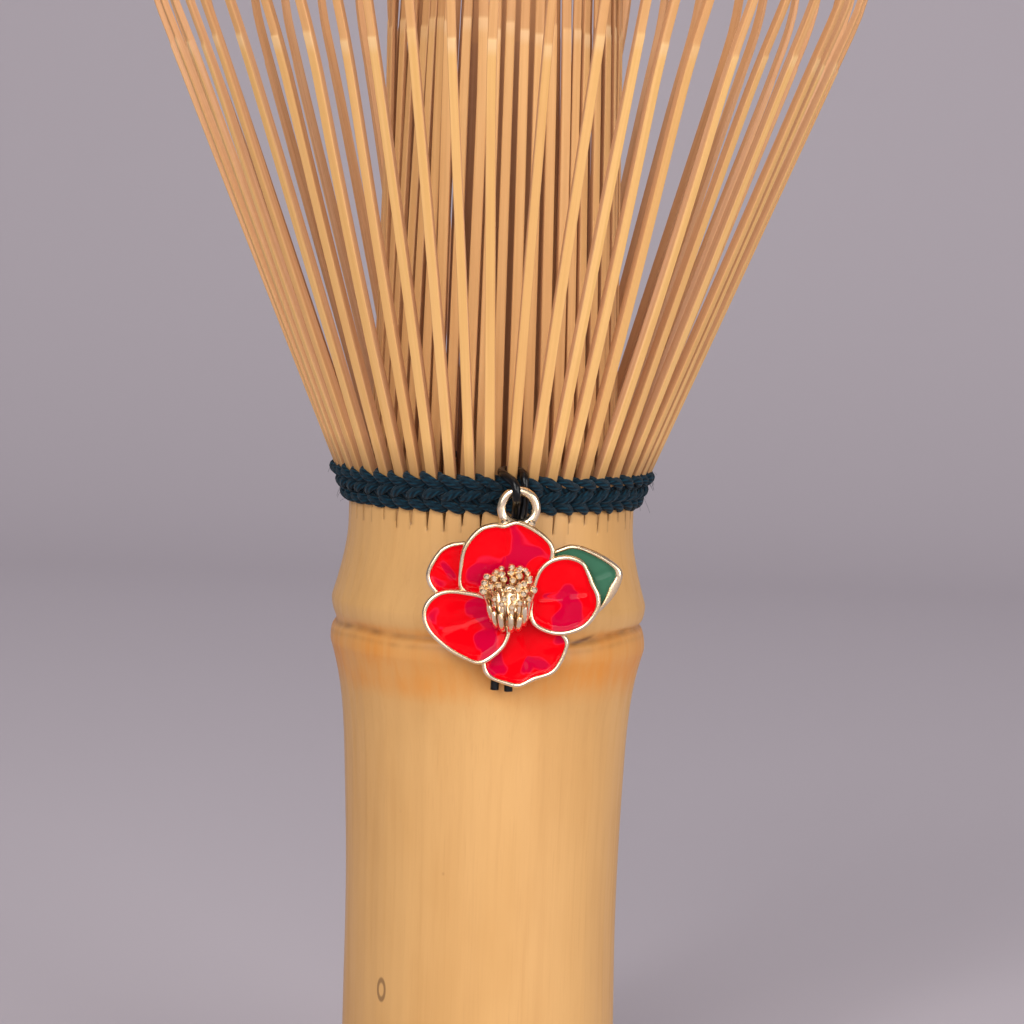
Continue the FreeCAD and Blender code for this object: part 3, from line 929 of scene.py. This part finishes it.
# Outlines in millimetres, (right, up) from the flower's middle, seen from the front; then the layer,
# how far the edge lifts towards the front, the crease (from, to) and how much broader one rim is.
PETALS = {
    "petal_left": (
        [(-3.2, 0.5), (-3.2, 4.1), (-4.1, 4.5), (-5.4, 4.0), (-6.3, 2.8), (-6.65, 1.6), (-6.2, 0.5),
         (-5.0, -0.2)],
        0, 0.10, ((-3.0, 0.8), (-5.6, 2.6))),
    "petal_bottom": (
        [(-1.6, -4.0), (-1.8, -5.8), (-1.2, -6.7), (0.1, -7.2), (1.3, -7.4), (2.6, -6.8), (4.3, -6.0),
         (5.2, -4.2), (5.1, -3.0), (3.2, -1.6), (0.8, -1.6)],
        0, 0.12, ((1.6, -3.2), (2.2, -6.2))),
    "leaf": (
        [(3.4, 3.4), (4.6, 4.4), (5.7, 4.55), (7.3, 4.05), (8.6, 3.35), (9.4, 2.6), (9.4, 1.7),
         (8.8, 0.4), (7.7, -0.9), (6.2, -1.9), (4.6, 0.4)],
        0, 0.10, ((4.6, 0.8), (8.8, 2.7)), LEAF_BROAD),
    "petal_top": (
        [(-1.6, 0.2), (-3.75, 0.55), (-3.95, 2.6), (-3.6, 4.3), (-2.5, 5.7), (-1.3, 6.2),
         (-0.35, 6.2), (0.9, 6.5), (2.5, 5.75), (3.65, 4.7), (3.85, 3.6), (3.2, 2.4), (1.9, 1.0)],
        1, 0.30, ((-0.1, 1.5), (-0.3, 5.7))),
    "petal_lower_left": (
        [(-1.2, 0.0), (-3.7, 0.62), (-5.4, 0.5), (-6.5, -0.35), (-6.85, -1.5), (-6.4, -2.8),
         (-4.95, -4.2), (-3.3, -5.1), (-1.8, -5.45), (-0.3, -4.4), (0.4, -3.2), (0.3, -2.2)],
        1.25, 0.30, ((-1.2, -1.2), (-5.2, -2.6))),
    "petal_right": (
        [(2.0, 0.6), (2.5, 2.4), (3.45, 3.4), (4.85, 3.8), (6.15, 3.45), (6.8, 2.5), (7.15, 1.7),
         (7.7, 0.5), (7.6, -0.8), (6.5, -2.2), (4.7, -2.85), (3.0, -2.55), (2.0, -1.6)],
        1.25, 0.30, ((2.6, 0.2), (6.4, 0.8))),
}


def closed_curve(points, per_span):
    """Smooth closed curve through the points."""
    count = len(points)
    curve = []
    for i in range(count):
        p0, p1, p2, p3 = (Vector(points[(i + k - 1) % count]) for k in range(4))
        for k in range(per_span):
            t = k / per_span
            curve.append(0.5 * ((2 * p1) + (p2 - p0) * t + (2 * p0 - 5 * p1 + 4 * p2 - p3) * t * t
                                + (3 * p1 - p0 - 3 * p2 + p3) * t ** 3))
    return curve


def distance_to_run(point, start, end):
    run = end - start
    t = max(0.0, min(1.0, (point - start).dot(run) / run.length_squared))
    return (point - start - run * t).length


class Petal:
    """Shape of one petal: its outline, its layer, and how it lifts and creases."""

    def __init__(self, points, layer, lift, crease, broad=0.0):
        self.middle = Vector((sum(p[0] for p in points), sum(p[1] for p in points))) / len(points)
        self.edge = closed_curve(points, RIM_STEPS)
        self.layer = layer
        self.lift = lift
        self.broad = broad
        self.crease = [Vector(p) for p in crease]
        self.front = BACK_Y - LAYER * (layer + 1)
        self.back = BACK_Y - LAYER * layer

    def inset(self, distance):
        """The outline moved in by a distance in millimetres, more where the rim is broad."""
        ring = []
        for point in self.edge:
            arm = point - self.middle
            off = atan2(arm.y, arm.x) - BROAD_SIDE
            widen = 1 + self.broad * exp(-(sin(off / 2) / 0.30) ** 2)
            ring.append(self.middle + arm * (1 - distance * widen / arm.length))
        return ring

    def lifted(self, flat):
        """How far the petal stands forward at a place, in metres."""
        away = min(1.4, flat.length / 6.5)
        return self.lift * MM * away * away

    def relief(self, flat):
        """Hollows and the crease of the petal's face, in metres."""
        crease = distance_to_run(flat, *self.crease)
        wave = wander(flat.x * 0.55, flat.y * 0.55, 3.0 * self.layer + self.lift * 9)
        return MM * (0.09 * exp(-(crease / 0.28) ** 2) + 0.10 * wave)

    def at(self, flat, y):
        return Vector((FLOWER.x + flat.x * MM, y - self.lifted(flat), FLOWER.z + flat.y * MM))


def add_petal_body(build, petal):
    """Cast tray of a petal: back, side wall, rounded rim and the floor of the pocket."""
    front, back = petal.front, petal.back
    steps = [(0.9, back), (0.16, back), (0.03, back - 0.07 * MM), (-0.04, back - 0.22 * MM),
             (-0.02, front + 0.20 * MM), (0.03, front + 0.07 * MM), (0.11, front - 0.01 * MM),
             (0.22, front - 0.03 * MM), (0.33, front + 0.02 * MM), (0.40, front + 0.12 * MM),
             (0.42, front + 0.26 * MM), (0.9, front + 0.30 * MM)]
    rows = []
    for distance, y in steps:
        rows.append([(petal.at(flat, y), (flat.x, flat.y), {}) for flat in petal.inset(distance)])
    build.closed_body(rows)


GLAZE_SHARES = (1.0, 0.985, 0.96, 0.92, 0.86, 0.78, 0.69, 0.6, 0.5, 0.4, 0.3, 0.2, 0.1)


def make_enamel(name, petal, material):
    """The glaze that fills a petal's pocket, its rings closest at the edge."""
    build = Build()
    front = petal.front
    floor_y = front + 0.27 * MM
    rows = [[(petal.at(flat, floor_y), (flat.x, flat.y), {"depth": 0.5}) for flat in petal.inset(0.40)]]
    pocket = petal.inset(0.37)
    for share in GLAZE_SHARES:
        inwards = 1 - share
        row = []
        for edge in pocket:
            flat = petal.middle + (edge - petal.middle) * share
            meniscus = 0.10 * MM * smooth_step(0.0, 0.12, inwards)
            relief = petal.relief(flat) * smooth_step(0.0, 0.25, inwards)
            thickness = smooth_step(0.0, 0.35, inwards)
            away = flat.length / 7
            # deeper towards the middle, where the glaze is thicker, and painted shade along the creases and dips
            # of the face
            depth = min(1.0, 0.75 * thickness * (1.1 - away) + 2600 * max(0.0, relief))
            place = petal.at(flat, front + 0.03 * MM + meniscus + relief)
            row.append((place, (flat.x, flat.y), {"depth": depth}))
        rows.append(row)
    build.closed_body(rows)
    piece = build.piece("glaze_" + name, [material], sharp=radians(75))
    stand_for(piece, "charm", "enamel_" + name)


LOOP_R = 1.425 * MM
LOOP_WIRE = 0.39 * MM
LOOP_STEPS = 56


def add_loop(build):
    """Cast loop, thicker where it joins the top petal."""
    centre = PIVOT - Vector((0, 0, LOOP_R))
    line, sizes = [], []
    for k in range(LOOP_STEPS):
        turn = 2 * pi * k / LOOP_STEPS
        line.append(centre + Vector((LOOP_R * sin(turn), 0, LOOP_R * cos(turn))))
        low = smooth_step(0.2, 1.0, -cos(turn))
        sizes.append(LOOP_WIRE * (1 + 0.22 * low))
    sweep(build, line, lambda i: circle(sizes[i], 16), lambda i: Vector((0, -1, 0)), closed=True)
    for side in (-1, 1):
        ball(build, centre + Vector((side * 1.05 * MM, -0.25 * MM, -1.25 * MM)), 0.40 * MM, 12)


TUFT = Vector((FLOWER.x + 0.3 * MM, BACK_Y - 2 * LAYER, FLOWER.z - 1.0 * MM))
TUFT_LEAN = Vector((-0.05, -0.62, 0.78)).normalized()
TUFT_FACE = Vector((0, 0.50, 0.87))       # up along the tuft's slanting top
TUFT_HEIGHT = 2.4 * MM
TUFT_SEED = 5
# Drum under the filaments, from the foot up: (height, radius) in millimetres.
DRUM = ((-0.1, 1.36), (0.4, 1.38), (0.9, 1.42), (1.2, 1.40), (1.35, 1.2), (1.3, 0.6))
DRUM_SIDES = 68
LOOSE_BEADS = 14
CURL_POINTS = 25
# Rings of filaments, in millimetres: count, foot radius, top radius, height, thickness.
TUFT_RINGS = ((17, 1.60, 1.95, 2.35, 0.24), (11, 1.05, 1.38, 2.50, 0.17), (6, 0.55, 0.80, 2.60, 0.16))


def tuft_point(radius, turn, height):
    """Point of the tuft: its foot lies flat on the petals and its top slants."""
    flat = Vector((cos(turn), 0, sin(turn)))
    slanted = Vector((cos(turn), 0, 0)) + TUFT_FACE * sin(turn)
    side = flat.lerp(slanted, min(1.0, height / TUFT_HEIGHT))
    return TUFT + TUFT_LEAN * height + side * radius


def make_stamens(material):
    """A leaning drum of cast filaments, with balls on the upper ones, round a curl."""
    build = Build()
    rng = random.Random(TUFT_SEED)
    drum = []
    for height, radius in DRUM:
        row = []
        for k in range(DRUM_SIDES):
            turn = 2 * pi * k / DRUM_SIDES
            fluted = radius * (1 + 0.04 * cos(15 * turn))
            row.append((tuft_point(fluted * MM, turn, height * MM), (k / 4, height), {}))
        drum.append(row)
    build.closed_body(drum)
    for ring, (count, foot_r, top_r, top, size) in enumerate(TUFT_RINGS):
        for k in range(count):
            turn = 2 * pi * (k + 0.5 * ring + rng.uniform(-0.14, 0.14)) / count
            upper = smooth_step(-0.75, -0.15, sin(turn))
            reach = top * rng.uniform(0.92, 1.08) * lerp(0.86, 1.0, upper) * MM
            tip_r = top_r * rng.uniform(0.94, 1.10) * MM
            foot = tuft_point(foot_r * MM, turn, 0.0)
            tip = tuft_point(tip_r, turn, reach)
            line = []
            for step in range(9):
                share = step / 8
                ahead = lerp(1 - (1 - share) ** 2.2, share, upper)
                rise = lerp(share ** 1.6, share, upper)
                line.append(Vector((lerp(foot.x, tip.x, share ** 1.5), lerp(foot.y, tip.y, ahead),
                                    lerp(foot.z, tip.z, rise))))
            thick = size * lerp(1.12, 0.85, upper) * MM
            sweep(build, line, lambda i: circle(thick * (0.78 if i in (0, 8) else 1.0), 9),
                  lambda i: Vector((1, 0, 0)) if abs(cos(turn)) < 0.7 else TUFT_FACE)
            bead = rng.uniform(0.28, 0.37) * MM
            if upper > 0.25 or ring:
                ball(build, line[-1] + TUFT_LEAN * 0.10 * MM, bead, 12)
    for _ in range(LOOSE_BEADS):
        turn = rng.uniform(-0.1, pi + 0.1)
        spot = tuft_point(rng.uniform(0.5, 2.2) * MM, turn, rng.uniform(2.4, 2.85) * MM)
        ball(build, spot, rng.uniform(0.24, 0.33) * MM, 10)
    curl = []
    for k in range(CURL_POINTS + 1):
        turn = -1.3 + 4.6 * k / CURL_POINTS
        reach = lerp(0.80, 0.38, k / CURL_POINTS) * MM
        curl.append(tuft_point(reach, turn, lerp(2.5, 3.0, k / CURL_POINTS) * MM)
                    + Vector((0.15 * MM, 0, -0.55 * MM)))
    sweep(build, curl, lambda i: circle(0.19 * MM, 10), lambda i: TUFT_LEAN)
    piece = build.piece("stamen_tuft", [material], sharp=radians(60))
    stand_for(piece, "charm", "charm_stamens")


def make_charm(gold, red, green):
    petals = {name: Petal(*shape) for name, shape in PETALS.items()}
    build = Build()
    for petal in petals.values():
        add_petal_body(build, petal)
    hub = []
    for radius, y in ((1.5, BACK_Y), (1.6, BACK_Y - 0.2 * MM), (1.6, BACK_Y - 1.7 * LAYER),
                      (1.45, BACK_Y - 2.0 * LAYER)):
        hub.append([(Vector((TUFT.x + radius * MM * cos(t * pi / 24), y,
                             TUFT.z + radius * MM * sin(t * pi / 24))), (t, radius), {})
                    for t in range(48)])
    build.closed_body(hub)
    add_loop(build)
    piece = build.piece("flower_casting", [gold], sharp=radians(60))
    stand_for(piece, "charm", "charm_casting")
    for name, petal in petals.items():
        make_enamel(name, petal, green if name == "leaf" else red)
    make_stamens(gold)


# ---- stage ----
# Soft lights, aimed at the middle of the whisk: (place, (width, height), power, colour).
LIGHTS = {
    "key": ((-0.26, -0.80, 0.42), (0.6, 0.6), 4.5, (1.0, 0.975, 0.94)),
    "fill": ((0.65, -0.55, 0.22), (0.6, 0.6), 4.7, (1.0, 0.975, 0.95)),
    "bounce": ((0.05, -0.60, 0.15), (0.5, 0.10), 0.35, (1.0, 0.98, 0.96)),
    "top": ((0.0, 0.15, 0.85), (0.7, 0.7), 1.6, (1.0, 1.0, 1.0)),
    "window": ((-0.22, -0.42, 0.36), (0.06, 0.14), 0.45, (1.0, 1.0, 1.0)),
}
AIM = Vector((0, 0, 0.06))
STAGE_HALF, STAGE_DEPTH, STAGE_BEND, STAGE_TOP, STAGE_NEAR = 1.6, 0.75, 0.30, 1.8, -1.4


def make_light(name, place, size, power, colour):
    data = bpy.data.lights.new(name, "AREA")
    data.shape = "RECTANGLE"
    data.size, data.size_y = size
    data.energy = power
    data.color = colour
    lamp = add_object(name, data)
    lamp.location = place
    lamp.rotation_euler = (AIM - Vector(place)).to_track_quat("-Z", "Y").to_euler()


def make_stage():
    """A pale floor that curves up into a backdrop, and soft lights."""
    build = Build()
    flat = STAGE_DEPTH - STAGE_BEND
    profile = [(STAGE_NEAR, 0.0), (flat, 0.0)]
    for k in range(1, 13):
        turn = pi / 2 * k / 12
        profile.append((flat + STAGE_BEND * sin(turn), STAGE_BEND - STAGE_BEND * cos(turn)))
    profile.append((STAGE_DEPTH, STAGE_TOP))
    rows = [[(Vector((x, y, z)), (x, y), {}) for x in (-STAGE_HALF, STAGE_HALF)] for y, z in profile]
    build.ring_rows(rows, closed_ring=False)
    floor = build.piece("stage", [plain_stage()])
    for name, settings in LIGHTS.items():
        make_light(name, *settings)
    world = bpy.data.worlds.new("studio")
    world.use_nodes = True
    sky = world.node_tree.nodes["Background"]
    sky.inputs["Color"].default_value = (0.62, 0.60, 0.64, 1)
    sky.inputs["Strength"].default_value = 0.34
    bpy.context.scene.world = world
    bpy.context.scene.view_settings.view_transform = "Standard"


# ---- the whole picture ----
def main():
    make_camera()
    make_tie_cord(cord_cloth())
    make_culm(culm_skin(), culm_wood("cut_end", srgb(226, 188, 132), srgb(206, 160, 100)),
              culm_wood("inner_culm", srgb(214, 172, 112), srgb(188, 142, 88)))
    outer_wood = tine_wood("outer_tine_wood", srgb(240, 191, 122), srgb(230, 180, 108),
                           srgb(222, 172, 130), srgb(206, 152, 108))
    make_tines("outer", outer_wood, outer_stations(), outer_tine)
    inner_wood = tine_wood("inner_tine_wood", srgb(238, 186, 122), srgb(226, 172, 108),
                           srgb(196, 142, 100), srgb(168, 116, 80))
    make_tines("inner", inner_wood, inner_stations(), inner_tine)
    cotton = thread_cloth()
    make_binding(cotton)
    make_fuzz(cotton)
    make_charm(charm_gold(),
               # each enamel: its own colour, a deep colour for thicker glaze, painted shade and painted
               # reflections, and a glint colour for painted highlights
               enamel("red_enamel", srgb(230, 0, 14), srgb(200, 0, 50), srgb(232, 40, 76)),
               enamel("green_enamel", srgb(60, 108, 84), srgb(36, 84, 64), srgb(110, 150, 130)))
    make_stage()


main()
